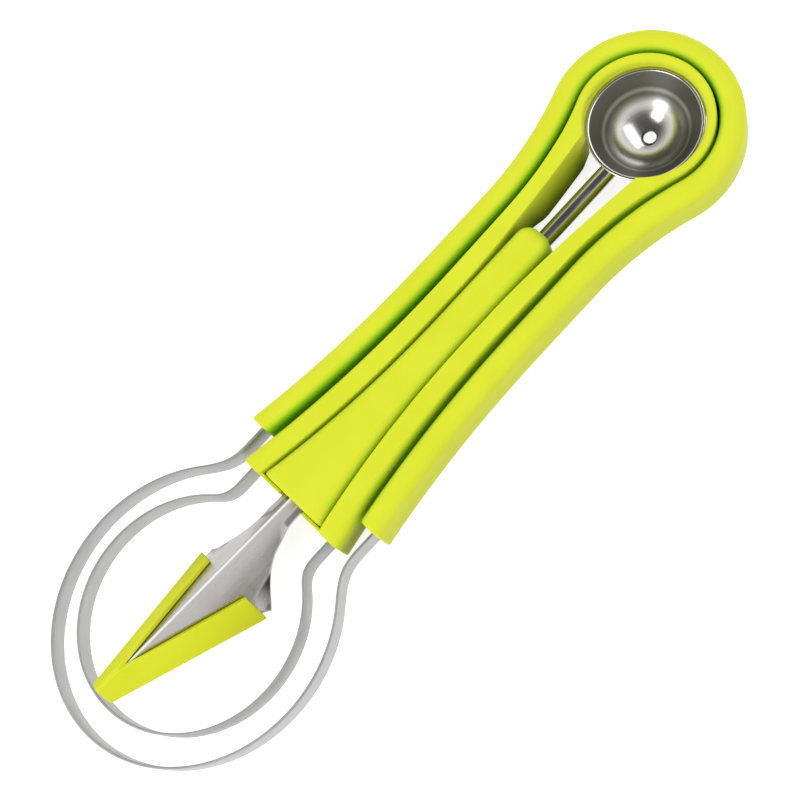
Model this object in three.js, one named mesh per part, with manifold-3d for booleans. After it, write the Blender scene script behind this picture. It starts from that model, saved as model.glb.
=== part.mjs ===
// A nested fruit tool: two horseshoe handles, each with a steel band loop, lie one inside the other
// around a core handle that has a melon baller at one end and a V-folded carving blade at the other.
// A channelled guard slides on the blade. Millimetres, +Z up, +X towards the round end.
import * as THREE from 'three';
import { mergeVertices } from 'three/addons/utils/BufferGeometryUtils.js';
import Module from 'manifold-3d';

const wasm = await Module();
wasm.setup();

// Clearances
const nestGap = 0.45; // between the walls of the core and the middle handle
const legGap = 1.4; // between the legs of the middle and the outer handle
const bulbGap = 0.7; // between their round ends
const seatGap = 0.3; // between a handle and the ledge under it
const steelGap = 0.3; // around a steel end in its moulded slot, and between welded pieces

// Stations along X are measured from the bulb's centre, over which the baller's bowl lies.
// Each half-width line has a waist and flares by a power law towards the open end of the handles.
const outerSide = { waistHalf: 19.1, waistX: -60.7, endHalf: 24.2, endX: -126, power: 2.2 };
const outerNest = { waistHalf: 11.1, waistX: -62.7, endHalf: 17.8, endX: -135.4, power: 2.1 };
const coreNest = { waistHalf: 5.2, waistX: -72.7, endHalf: 10.9, endX: -134.1, power: 2.1 };

// Edges of the handles
const innerEdgeRound = 1.2;
const legEndRound = 0.8;
const innerEdgeShare = 0.34; // most of a section's width that its inner edge takes
const outerEdgeShare = 0.6;

// Outer handle
const outerTop = 16;
const outerBulbRadius = 26;
const outerNeckRadius = 100; // concave arc between waist and bulb
const outerUpperRound = 5.5;
const outerInnerRound = 1.8;
const outerLowerRound = 3;

// Middle handle
const middleTop = 15.6;
const middleUpperRound = 2.6;
const nestBulbRadius = 18.65;
const nestNeckRadius = 105;
const bowlPocketRadius = 16;
const pocketMouthHalf = 9.5; // half-width where the slot beside the rod opens into the pocket
const pocketMouthStart = -62.7; // station where that slot starts to widen
const pocketMouthPower = 1.6;
const endWallThickness = 1; // wall across the open end, in front of the core handle
const endWallTop = 13.6;

// Seat ledges under the nested handles
const ledgeHeight = 1.5;
const ledgeReach = 1.1; // how far a ledge runs under the handle that it carries
const ledgeRoot = 1.5; // how far a ledge runs on into its wall
const coreLedgeEnd = -52.7; // station where the ledge under the core stops

// Core handle
const coreTop = 16.4;
const coreTipX = -39.5;
const coreTipRound = 4.2;
const coreUpperRound = 3.2;

// Steel band loops, each an oval on a straight neck. A band leaves the oval and straightens into the neck
// at distances from the oval's centre, and height is the height of the band's middle.
const bandWidth = 7.2;
const bandThickness = 0.8;
const loopCentreX = -173.7;
const bandSlotDepth = 11;
const outerLoop = {
  lengthRadius: 41.5, widthRadius: 37.3, leave: 28, neck: 42, neckHalf: 21.5, height: 7,
};
const innerLoop = {
  lengthRadius: 32.5, widthRadius: 29.8, leave: 25.4, neck: 33, neckHalf: 14.9, height: 9.2,
};
const bendStart = 0.8; // pull of the S-bend at the oval, as a share of the way down to the neck
const bendEnd = 0.45; // pull at the neck, as a share of the bend's length

// Melon baller
const bowlRimRadius = 15.5;
const bowlDepth = 10.6;
const bowlWall = 0.8;
const bowlRimHeight = 11.8;
const bowlTilt = THREE.MathUtils.degToRad(2.5); // the rim rises away from the rod
const bowlHoleRadius = 1.75;
const rodRadius = 2;
const rodHeight = 9;
const rodTang = 18; // length held inside the core handle

// Carving blade, a sheet folded along a ridge that climbs towards the tip
const bladeThickness = 0.6;
const bladePitch = THREE.MathUtils.degToRad(5.5);
const ridgeHeight = 15.2; // at the core handle's end
const foldSlope = 1.4; // fall of a wing for each millimetre to the side
const bladeReach = 66.8; // from the core handle's end to the tip
const shoulder = { reach: 24, half: 11.6 };
const shoulderPull = { reach: 19, half: 7.2 }; // control points of the curves from neck to shoulder
const taper = { reach: 13, half: 5.1 };
const taperPull = { reach: 8, half: 3.3 };
const bladeNeck = { reach: 3, half: 3.1 };
const bladeTang = 13;

// Blade guard, whose widths are measured down the wings from the ridge
const guardPlate = 1.2;
const guardSlot = 1;
const guardTipWall = 0.8;
const guardTipWidth = 3.9;
const guardTipClearance = 1.2; // from the blade's tip to the end of the slot
const guardRear = 26.2;
const guardRearWidth = 20.3;
const guardInnerWidth = 10.8;
const guardInnerSetback = 3.2; // from the blade's tip back to where the two arms part on the crest
const guardInnerReach = bladeReach - guardInnerSetback;
const guardCrest = 2.1; // height of the flat crest over the ridge

// Facets
const legSteps = 18;
const neckSteps = 7;
const bulbSteps = 14;
const filletSteps = 3;
const ovalSteps = 34;
const bendSteps = 10;
const cupSteps = 10;
const roundSegments = 40;

// Closed mesh to solid and back, for cuts and joins.
function solidOf(geometry) {
  const bare = geometry.index ? geometry.clone() : geometry;
  bare.deleteAttribute('normal');
  bare.deleteAttribute('uv');
  const merged = mergeVertices(bare, 1e-5);
  const mesh = new wasm.Mesh({
    numProp: 3,
    vertProperties: Float32Array.from(merged.attributes.position.array),
    triVerts: Uint32Array.from(merged.index.array),
  });
  mesh.merge();
  return new wasm.Manifold(mesh);
}

function geometryOf(solid) {
  const mesh = solid.getMesh();
  const geometry = new THREE.BufferGeometry();
  geometry.setAttribute('position', new THREE.BufferAttribute(mesh.vertProperties, 3));
  geometry.setIndex(new THREE.BufferAttribute(mesh.triVerts, 1));
  geometry.computeVertexNormals();
  return geometry;
}

const cut = (body, ...tools) => tools.reduce((rest, tool) => rest.subtract(tool), body);
const join = (...bodies) => bodies.reduce((whole, body) => whole.add(body));

function boxBetween(low, high) {
  const size = new THREE.Vector3().subVectors(high, low);
  const box = new THREE.BoxGeometry(size.x, size.y, size.z);
  const middle = new THREE.Vector3().addVectors(low, high).multiplyScalar(0.5);
  return solidOf(box.translate(middle.x, middle.y, middle.z));
}

// Half-width of a leg line at station x.
function flare(line, x) {
  const run = Math.max(0, (line.waistX - x) / (line.waistX - line.endX));
  return line.waistHalf + (line.endHalf - line.waistHalf) * run ** line.power;
}

const steps = (count) => Array.from({ length: count }, (_, i) => (i + 1) / count);
const polar = (radius, angle) => new THREE.Vector2(radius * Math.cos(angle), radius * Math.sin(angle));

// Stations along a leg: close together at its rounded end, then even.
function legStations(startX, stopX) {
  const edge = [0, 0.12, 0.45, 1].map((share) => startX + share * legEndRound);
  const even = steps(legSteps).map((t) => THREE.MathUtils.lerp(startX + legEndRound, stopX, t));
  return [...edge, ...even];
}

// Upper half of a horseshoe outline from its leg's end to the bulb's far point: the flared leg, a concave
// neck arc and the bulb's arc, each tangent to the next. The leg is moved sideways by an offset.
function horseshoeHalf(line, bulbRadius, neckRadius, legEnd, offset) {
  const neckCentre = new THREE.Vector2(0, line.waistHalf + offset + neckRadius);
  neckCentre.x = -Math.sqrt((neckRadius + bulbRadius) ** 2 - neckCentre.y ** 2);
  const touch = neckCentre.angle();
  const leg = legStations(legEnd, neckCentre.x).map((x) => new THREE.Vector2(x, flare(line, x) + offset));
  const neck = steps(neckSteps).map((t) => {
    const angle = THREE.MathUtils.lerp(-Math.PI / 2, touch - Math.PI, t);
    return polar(neckRadius, angle).add(neckCentre);
  });
  const bulb = steps(bulbSteps).map((t) => polar(bulbRadius, touch * (1 - t)));
  return [...leg, ...neck, ...bulb];
}

// Half-width of the middle handle's inner wall: it follows the core, then widens beside the rod.
function middleInnerHalf(x) {
  const mouthX = -Math.sqrt(bowlPocketRadius ** 2 - pocketMouthHalf ** 2);
  const run = Math.max(0, (x - pocketMouthStart) / (mouthX - pocketMouthStart));
  const wall = flare(coreNest, x) + nestGap / 2;
  return wall + (pocketMouthHalf - coreNest.waistHalf - nestGap / 2) * run ** pocketMouthPower;
}

// Upper half of the middle handle's keyhole: the wall beside core and rod, then the bowl's pocket.
function keyholeHalf() {
  const mouthX = -Math.sqrt(bowlPocketRadius ** 2 - pocketMouthHalf ** 2);
  const mouthAngle = Math.PI - Math.asin(pocketMouthHalf / bowlPocketRadius);
  const wall = legStations(outerNest.endX, mouthX).map((x) => new THREE.Vector2(x, middleInnerHalf(x)));
  const arcSteps = neckSteps + bulbSteps;
  const pocket = steps(arcSteps).map((t) => polar(bowlPocketRadius, mouthAngle * (1 - t)));
  return [...wall, ...pocket];
}

// Ring of points round one section between two plan points, with its four edges rounded.
function sectionRing(inner, outer, form, inset) {
  const across = outer.clone().sub(inner);
  const full = across.length();
  const width = full - 2 * inset;
  across.normalize();
  const innerMost = innerEdgeShare * full;
  const outerMost = outerEdgeShare * full;
  const low = form.bottom + inset;
  const high = form.top - inset;
  const corners = [
    { at: 0, z: low, round: Math.min(form.innerLower, innerMost), turn: Math.PI },
    { at: width, z: low, round: Math.min(form.outerLower, outerMost), turn: 1.5 * Math.PI },
    { at: width, z: high, round: Math.min(form.outerUpper, outerMost), turn: 0 },
    { at: 0, z: high, round: Math.min(form.innerUpper, innerMost), turn: 0.5 * Math.PI },
  ];
  return corners.flatMap(({ at, z, round, turn }) => {
    const radius = Math.max(round - inset, 0.15 * round);
    const centreAt = at === 0 ? radius : at - radius;
    const centreZ = z === low ? z + radius : z - radius;
    return Array.from({ length: filletSteps + 1 }, (_, i) => {
      const angle = turn + (i / filletSteps) * Math.PI / 2;
      const reach = inset + centreAt + radius * Math.cos(angle);
      return new THREE.Vector3(
        inner.x + across.x * reach,
        inner.y + across.y * reach,
        centreZ + radius * Math.sin(angle),
      );
    });
  });
}

// Closed skin over a row of rings, with flat ends.
function loft(rings) {
  const size = rings[0].length;
  const positions = rings.flat().flatMap((point) => point.toArray());
  const index = [];
  for (let i = 0; i < rings.length - 1; i += 1) {
    for (let j = 0; j < size; j += 1) {
      const a = i * size + j;
      const b = i * size + ((j + 1) % size);
      index.push(a, b, a + size, b, b + size, a + size);
    }
  }
  const last = (rings.length - 1) * size;
  for (let j = 1; j < size - 1; j += 1) {
    index.push(0, j + 1, j, last, last + j, last + j + 1);
  }
  const geometry = new THREE.BufferGeometry();
  geometry.setAttribute('position', new THREE.Float32BufferAttribute(positions, 3));
  geometry.setIndex(index);
  return solidOf(geometry);
}

// How far an edge rounded over by a radius draws in, a given distance from the end face.
function roundOver(distance, radius) {
  if (distance >= radius) return 0;
  return radius - Math.sqrt(radius ** 2 - (radius - distance) ** 2);
}

// Horseshoe body between two half outlines, swept from one leg's end round the bulb to the other's.
function horseshoe(innerHalf, outerHalf, form) {
  const legEnd = outerHalf[0].x;
  const mirror = (point) => new THREE.Vector2(point.x, -point.y);
  const ringAt = (inner, outer) => {
    const inset = roundOver(Math.abs(outer.x - legEnd), legEndRound);
    return sectionRing(inner, outer, form, inset);
  };
  const upper = outerHalf.map((outer, i) => ringAt(innerHalf[i], outer));
  const lower = outerHalf.map((outer, i) => ringAt(mirror(innerHalf[i]), mirror(outer)));
  return loft([...upper, ...lower.slice(0, -1).reverse()]);
}

// Ledge along the foot of a wall: a strip that stands in from the wall line and is rooted inside it. It
// reaches across the gap beside the wall and on under the handle that it carries.
function ledgeStrip(wallHalf, bottom, side, gap) {
  const shift = (point, distance) => new THREE.Vector2(point.x, side * (point.y + distance));
  const top = bottom + ledgeHeight;
  const rings = wallHalf.map((point) => {
    const ends = [shift(point, -gap - ledgeReach), shift(point, ledgeRoot)];
    const [low, high] = side > 0 ? ends : ends.reverse();
    const corners = [[low, bottom], [high, bottom], [high, top], [low, top]];
    return corners.map(([plan, z]) => new THREE.Vector3(plan.x, plan.y, z));
  });
  return loft(rings);
}

// Slots for the two ends of a band loop in a handle's legs.
function bandSlots(loop, legEnd) {
  const slot = (side) => {
    const faces = [loop.neckHalf + steelGap, loop.neckHalf - bandThickness - steelGap];
    const [near, far] = faces.map((y) => side * y).sort((a, b) => a - b);
    const half = bandWidth / 2 + steelGap;
    return boxBetween(
      new THREE.Vector3(legEnd - 1, near, loop.height - half),
      new THREE.Vector3(legEnd + bandSlotDepth + steelGap, far, loop.height + half),
    );
  };
  return [slot(1), slot(-1)];
}

const roundedForm = (bottom, top, inner, lower, upper) => ({
  bottom, top, innerLower: inner, innerUpper: inner, outerLower: lower, outerUpper: upper,
});

const middleBottom = ledgeHeight + seatGap;
const coreBottom = middleBottom + ledgeHeight + seatGap;

function outerHandle() {
  const innerBulb = nestBulbRadius + bulbGap;
  const inner = horseshoeHalf(outerNest, innerBulb, nestNeckRadius, outerSide.endX, legGap);
  const outer = horseshoeHalf(outerSide, outerBulbRadius, outerNeckRadius, outerSide.endX, 0);
  const form = roundedForm(0, outerTop, innerEdgeRound, outerLowerRound, outerUpperRound);
  form.innerUpper = outerInnerRound;
  const seat = inner.slice(4);
  const ledges = [1, -1].map((side) => ledgeStrip(seat, 0, side, legGap));
  const body = join(horseshoe(inner, outer, form), ...ledges);
  return cut(body, ...bandSlots(outerLoop, outerSide.endX));
}

// Wall across the open end of the middle handle, notched for the blade's neck.
function endWall() {
  const half = flare(coreNest, outerNest.endX) + nestGap / 2 + 1;
  const wall = boxBetween(
    new THREE.Vector3(outerNest.endX, -half, middleBottom),
    new THREE.Vector3(outerNest.endX + endWallThickness, half, endWallTop),
  );
  const notchHalf = bladeNeck.half + 2 * steelGap;
  const notchFloor = ridgeHeight - foldSlope * bladeNeck.half - 2 * bladeThickness - steelGap;
  const notch = boxBetween(
    new THREE.Vector3(outerNest.endX - 1, -notchHalf, notchFloor),
    new THREE.Vector3(outerNest.endX + endWallThickness + 1, notchHalf, endWallTop + 1),
  );
  return cut(wall, notch);
}

function middleHandle() {
  const outer = horseshoeHalf(outerNest, nestBulbRadius, nestNeckRadius, outerNest.endX, 0);
  const inner = keyholeHalf();
  const form = roundedForm(middleBottom, middleTop, innerEdgeRound, innerEdgeRound, middleUpperRound);
  const seat = inner.slice(4).filter((point) => point.x < coreLedgeEnd);
  const ledges = [1, -1].map((side) => ledgeStrip(seat, middleBottom, side, nestGap));
  const body = join(horseshoe(inner, outer, form), endWall(), ...ledges);
  return cut(body, ...bandSlots(innerLoop, outerNest.endX));
}

// Matrix from the blade's own frame, with its ridge on the X axis, to the tool's frame.
const bladePlace = new THREE.Matrix4().makeRotationY(bladePitch);
bladePlace.setPosition(coreNest.endX, 0, ridgeHeight);

// Length of a folded sheet: its section is a V whose mid-surface falls away from the ridge on both sides.
function foldedSheet(thickness, half, fromX, toX) {
  const rise = 0.5 * thickness * Math.hypot(1, foldSlope);
  const fall = foldSlope * half;
  const section = new THREE.Shape([
    new THREE.Vector2(-half, -fall - rise),
    new THREE.Vector2(0, -rise),
    new THREE.Vector2(half, -fall - rise),
    new THREE.Vector2(half, -fall + rise),
    new THREE.Vector2(0, rise),
    new THREE.Vector2(-half, -fall + rise),
  ]);
  const bar = new THREE.ExtrudeGeometry(section, { depth: toX - fromX, bevelEnabled: false });
  const alongX = new THREE.Matrix4().makeBasis(
    new THREE.Vector3(0, 1, 0),
    new THREE.Vector3(0, 0, 1),
    new THREE.Vector3(1, 0, 0),
  );
  return bar.applyMatrix4(alongX).translate(fromX, 0, 0);
}

// Plan outline carried up and down past the folded sheet, to trim it.
function trimPrism(shape) {
  const height = 4 * foldSlope * shoulder.half;
  const prism = new THREE.ExtrudeGeometry(shape, { depth: height, bevelEnabled: false, curveSegments: 6 });
  return solidOf(prism.translate(0, 0, -0.75 * height));
}

function coreHandle() {
  const tipStart = coreTipX - coreTipRound;
  const legs = legStations(coreNest.endX, tipStart);
  const tip = [0.3, 0.55, 0.75, 0.9, 1].map((share) => tipStart + share * coreTipRound);
  const form = roundedForm(coreBottom, coreTop, coreUpperRound, innerEdgeRound, coreUpperRound);
  form.innerLower = innerEdgeRound;
  const rings = [...legs, ...tip].map((x) => {
    const half = flare(coreNest, x) - nestGap / 2;
    const inset = roundOver(x - coreNest.endX, legEndRound) + roundOver(coreTipX - x, coreTipRound);
    return sectionRing(new THREE.Vector2(x, -half), new THREE.Vector2(x, half), form, inset);
  });
  const boreLength = rodTang + steelGap + 1;
  const bore = new THREE.CylinderGeometry(rodRadius + steelGap, rodRadius + steelGap, boreLength, 20);
  bore.rotateZ(Math.PI / 2).translate(coreTipX + 1 - boreLength / 2, 0, rodHeight);
  const slotHalf = bladeNeck.half + steelGap;
  const slot = foldedSheet(bladeThickness + 2 * steelGap, slotHalf, -3, bladeTang + steelGap);
  return cut(loft(rings), solidOf(bore), solidOf(slot.applyMatrix4(bladePlace)));
}

// Band loop: half an oval, an S-bend down to the neck and a straight tang, mirrored about the tool's axis.
function bandLoop(loop, legEnd) {
  const middle = { long: loop.lengthRadius - bandThickness / 2, wide: loop.widthRadius - bandThickness / 2 };
  const neckHalf = loop.neckHalf - bandThickness / 2;
  const leaveAngle = Math.acos(loop.leave / middle.long);
  const ovalAt = (angle) => new THREE.Vector2(
    loopCentreX + middle.long * Math.cos(angle),
    middle.wide * Math.sin(angle),
  );
  const leave = ovalAt(leaveAngle);
  const heading = new THREE.Vector2(
    middle.long * Math.sin(leaveAngle),
    -middle.wide * Math.cos(leaveAngle),
  ).normalize();
  const reach = (leave.y - neckHalf) / -heading.y;
  const neckX = loopCentreX + loop.neck;
  const bend = new THREE.CubicBezierCurve(
    leave,
    leave.clone().addScaledVector(heading, bendStart * reach),
    new THREE.Vector2(neckX - bendEnd * (neckX - leave.x), neckHalf),
    new THREE.Vector2(neckX, neckHalf),
  );
  const oval = steps(ovalSteps).map((t) => ovalAt(THREE.MathUtils.lerp(Math.PI, leaveAngle, t)));
  const tangEnd = new THREE.Vector2(legEnd + bandSlotDepth, neckHalf);
  const half = [ovalAt(Math.PI), ...oval, ...bend.getPoints(bendSteps).slice(1), tangEnd];
  const mirrored = half.slice(1).reverse().map((point) => new THREE.Vector2(point.x, -point.y));
  return bandAlong([...mirrored, ...half], loop.height);
}

// Steel strip on edge along a plan path, with its middle at a height.
function bandAlong(path, height) {
  const side = (offset) => path.map((point, i) => {
    const before = path[Math.max(i - 1, 0)];
    const after = path[Math.min(i + 1, path.length - 1)];
    const heading = after.clone().sub(before).normalize();
    return new THREE.Vector2(point.x - heading.y * offset, point.y + heading.x * offset);
  });
  const outline = new THREE.Shape([...side(bandThickness / 2), ...side(-bandThickness / 2).reverse()]);
  const band = new THREE.ExtrudeGeometry(outline, { depth: bandWidth, bevelEnabled: false });
  return solidOf(band.translate(0, 0, height - bandWidth / 2));
}

// Bowl: a spherical cup with a rounded rim and a drain hole, turned about its axis and tilted at its rim.
const cupRadius = (bowlRimRadius ** 2 + bowlDepth ** 2) / (2 * bowlDepth);
const cupOverRim = cupRadius - bowlDepth;
const cupCentre = new THREE.Vector3(
  -cupOverRim * Math.sin(bowlTilt),
  0,
  bowlRimHeight + cupOverRim * Math.cos(bowlTilt),
);

function ballerBowl() {
  const lowest = -Math.PI / 2;
  const wallArc = (radius) => {
    const holeAngle = lowest + Math.asin(bowlHoleRadius / radius);
    const rimAngle = Math.asin(-cupOverRim / radius);
    return [0, ...steps(cupSteps)].map((t) => polar(radius, THREE.MathUtils.lerp(holeAngle, rimAngle, t)));
  };
  const outerWall = wallArc(cupRadius);
  const innerWall = wallArc(cupRadius - bowlWall).reverse();
  const rimMiddle = outerWall[cupSteps].clone().add(innerWall[0]).multiplyScalar(0.5);
  rimMiddle.y += bowlWall / 3;
  const profile = [...outerWall, rimMiddle, ...innerWall, outerWall[0].clone()];
  const cup = new THREE.LatheGeometry(profile, roundSegments);
  cup.rotateX(Math.PI / 2).rotateY(-bowlTilt).translate(...cupCentre.toArray());
  return solidOf(cup);
}

function ballerRod() {
  const start = coreTipX - rodTang;
  const rod = new THREE.CylinderGeometry(rodRadius, rodRadius, -start, 20);
  rod.rotateZ(Math.PI / 2).translate(start / 2, 0, rodHeight);
  const cup = new THREE.SphereGeometry(cupRadius + steelGap, roundSegments, roundSegments / 2);
  return cut(solidOf(rod), solidOf(cup.translate(...cupCentre.toArray())));
}

// Blade outline in its own frame: tang and neck, hooked shoulders, then straight edges to the tip.
function bladeOutline() {
  const shape = new THREE.Shape();
  shape.moveTo(bladeTang, -bladeNeck.half);
  shape.lineTo(bladeTang, bladeNeck.half);
  shape.lineTo(-bladeNeck.reach, bladeNeck.half);
  shape.quadraticCurveTo(-taperPull.reach, taperPull.half, -taper.reach, taper.half);
  shape.quadraticCurveTo(-shoulderPull.reach, shoulderPull.half, -shoulder.reach, shoulder.half);
  shape.lineTo(-bladeReach, 0);
  shape.lineTo(-shoulder.reach, -shoulder.half);
  shape.quadraticCurveTo(-shoulderPull.reach, -shoulderPull.half, -taper.reach, -taper.half);
  shape.quadraticCurveTo(-taperPull.reach, -taperPull.half, -bladeNeck.reach, -bladeNeck.half);
  return shape;
}

function carvingBlade() {
  const sheet = solidOf(foldedSheet(bladeThickness, shoulder.half + 1, -bladeReach - 1, bladeTang));
  return sheet.intersect(trimPrism(bladeOutline()));
}

// Slab on the wing at the +Y side: an outline along X and down the wing, half its thickness either side.
function wingSlab(points, thickness) {
  const slope = Math.atan(foldSlope);
  const outline = new THREE.Shape(points);
  const slab = new THREE.ExtrudeGeometry(outline, { depth: thickness, bevelEnabled: false });
  const ontoWing = new THREE.Matrix4().makeBasis(
    new THREE.Vector3(1, 0, 0),
    new THREE.Vector3(0, Math.cos(slope), -Math.sin(slope)),
    new THREE.Vector3(0, Math.sin(slope), Math.cos(slope)),
  );
  return solidOf(slab.translate(0, 0, -thickness / 2).applyMatrix4(ontoWing));
}

// Guard: a channel over each cutting edge, its faces square to the wing, the two joined at the tip.
function bladeGuard() {
  const tipX = -bladeReach - guardTipClearance - guardTipWall;
  const thickness = guardSlot + 2 * guardPlate;
  const pastRidge = 0.5 * thickness * foldSlope; // where a slab's upper face reaches the middle plane
  const arm = wingSlab([
    new THREE.Vector2(tipX, -pastRidge),
    new THREE.Vector2(-guardInnerReach, -pastRidge),
    new THREE.Vector2(-guardRear, guardInnerWidth),
    new THREE.Vector2(-guardRear, guardRearWidth),
    new THREE.Vector2(tipX, guardTipWidth),
  ], thickness);
  const slotTip = -bladeReach - guardTipClearance;
  const edgeTurn = shoulder.half * Math.hypot(1, foldSlope) / (bladeReach - shoulder.reach);
  const slot = wingSlab([
    new THREE.Vector2(slotTip, -pastRidge),
    new THREE.Vector2(0, -pastRidge),
    new THREE.Vector2(0, -slotTip * edgeTurn),
    new THREE.Vector2(slotTip, 0),
  ], guardSlot);
  const side = boxBetween(
    new THREE.Vector3(tipX - 1, 0, -4 * guardRearWidth),
    new THREE.Vector3(1, 2 * guardRearWidth, guardCrest),
  );
  const channel = cut(arm, slot).intersect(side);
  return join(channel, channel.mirror([0, 1, 0]));
}

// Materials
const limePlastic = new THREE.MeshStandardMaterial({ color: 0xbfdc12, roughness: 0.5, metalness: 0 });
const guardPlastic = new THREE.MeshStandardMaterial({ color: 0xd2da33, roughness: 0.5, metalness: 0 });
const satinSteel = new THREE.MeshStandardMaterial({ color: 0xb8b8ba, roughness: 0.35, metalness: 1 });
const polishedSteel = new THREE.MeshStandardMaterial({ color: 0xc4c1bb, roughness: 0.18, metalness: 1 });

function piece(name, solid, material) {
  const mesh = new THREE.Mesh(geometryOf(solid), material);
  mesh.name = name;
  return mesh;
}

const bladeGroup = new THREE.Group();
bladeGroup.applyMatrix4(bladePlace);
bladeGroup.add(
  piece('carving_blade', carvingBlade(), satinSteel),
  piece('blade_guard', bladeGuard(), guardPlastic),
);

const tool = new THREE.Group();
tool.add(
  piece('outer_handle', outerHandle(), limePlastic),
  piece('outer_loop', bandLoop(outerLoop, outerSide.endX), satinSteel),
  piece('middle_handle', middleHandle(), limePlastic),
  piece('middle_loop', bandLoop(innerLoop, outerNest.endX), satinSteel),
  piece('core_handle', coreHandle(), limePlastic),
  piece('baller_rod', ballerRod(), polishedSteel),
  piece('baller_bowl', ballerBowl(), polishedSteel),
  bladeGroup,
);

// The origin is under the middle of the tool's length.
const farEnd = loopCentreX - outerLoop.lengthRadius;
tool.position.x = -(farEnd + outerBulbRadius) / 2;

export default tool;
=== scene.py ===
"""Looks of a nested fruit tool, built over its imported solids.

Two lime horseshoe handles, each with a steel band loop, lie around a core handle that carries a
melon baller and a folded carving blade in a guard. Sizes are millimetres in the part's own frame,
and stations along X are measured from the centre of the handles' round bulb.
"""

import logging
import math
from dataclasses import dataclass, field, replace
from enum import Enum

import bmesh
import bpy
import numpy as np
from mathutils import Matrix, Vector


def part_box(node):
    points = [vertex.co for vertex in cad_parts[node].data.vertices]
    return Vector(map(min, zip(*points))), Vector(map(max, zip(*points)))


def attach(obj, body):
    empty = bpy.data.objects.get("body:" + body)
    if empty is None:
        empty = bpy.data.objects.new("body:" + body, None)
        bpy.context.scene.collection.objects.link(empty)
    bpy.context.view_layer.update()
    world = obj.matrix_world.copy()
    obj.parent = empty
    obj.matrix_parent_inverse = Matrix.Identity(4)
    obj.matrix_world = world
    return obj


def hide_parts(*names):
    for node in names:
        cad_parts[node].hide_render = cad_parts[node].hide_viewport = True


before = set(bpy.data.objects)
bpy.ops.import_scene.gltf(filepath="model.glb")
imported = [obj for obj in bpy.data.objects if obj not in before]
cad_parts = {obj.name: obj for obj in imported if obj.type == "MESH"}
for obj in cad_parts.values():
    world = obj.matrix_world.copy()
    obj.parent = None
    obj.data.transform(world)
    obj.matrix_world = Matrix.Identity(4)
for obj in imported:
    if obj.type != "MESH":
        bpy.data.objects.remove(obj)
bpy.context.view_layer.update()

LOG = logging.getLogger("fruit_tool")
MM = 0.001
OUTER_BULB = 26.0
BULB_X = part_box("outer_handle")[1].x / MM - OUTER_BULB
WHITE = (1.0, 1.0, 1.0, 1.0)
NOISE_MEAN = 0.5
SHARP_ANGLE = math.radians(50.0)
BEVEL_ANGLE = math.radians(40.0)

Triple = tuple[float, float, float]
Pair = tuple[float, float]


class Body(Enum):
    """The rigid bodies that pieces ride on."""

    OUTER = "outer_tool"
    MIDDLE = "middle_tool"
    CORE = "core_tool"
    GUARD = "guard"


class Slot(Enum):
    """The record's material slots."""

    LIME = "lime_plastic"
    GUARD = "guard_plastic"
    SATIN = "satin_steel"
    POLISHED = "polished_steel"


class Mark(Enum):
    """Numbers stored on a mesh's points for its finish to read: shares of painted shade, of a painted
    highlight and of a painted dark reflection.
    """

    PAINTED_GROOVE_SHADE = "painted_groove_shade"
    SLOT_WALL_SHADE = "slot_wall_shade"
    RIDGE_HIGHLIGHT = "ridge"
    EAR_DARK_REFLECTION = "ear"


# Shader expressions


class Value:
    """A number that varies over a surface and takes part in Python arithmetic."""

    def __init__(self, graph: "Graph", socket: bpy.types.NodeSocket) -> None:
        """Keep the graph that owns the socket, and the socket itself."""
        self.graph = graph
        self.socket = socket

    def _math(self, operation: str, first: "Value | float", second: "Value | float") -> "Value":
        """One Math node on two operands."""
        return self.graph.value("ShaderNodeMath", {"operation": operation}, {0: first, 1: second})

    def __add__(self, other: "Value | float") -> "Value":
        """Sum."""
        return self._math("ADD", self, other)

    def __radd__(self, other: float) -> "Value":
        """Sum with the number first."""
        return self._math("ADD", other, self)

    def __sub__(self, other: "Value | float") -> "Value":
        """Difference."""
        return self._math("SUBTRACT", self, other)

    def __rsub__(self, other: float) -> "Value":
        """Difference with the number first."""
        return self._math("SUBTRACT", other, self)

    def __mul__(self, other: "Value | float") -> "Value":
        """Product."""
        return self._math("MULTIPLY", self, other)

    def __rmul__(self, other: float) -> "Value":
        """Product with the number first."""
        return self._math("MULTIPLY", other, self)

    def larger(self, other: "Value") -> "Value":
        """The larger of two."""
        return self._math("MAXIMUM", self, other)

    def between(self, low: float, high: float) -> "Value":
        """Smooth rise between two limits.

        Args:
            low: where the rise starts, at 0.
            high: where it ends, at 1.

        Returns:
            The share from 0 to 1.
        """
        settings = {"interpolation_type": "SMOOTHSTEP"}
        inputs = {"Value": self, "From Min": low, "From Max": high, "To Min": 0.0, "To Max": 1.0}
        return self.graph.value("ShaderNodeMapRange", settings, inputs)


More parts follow.
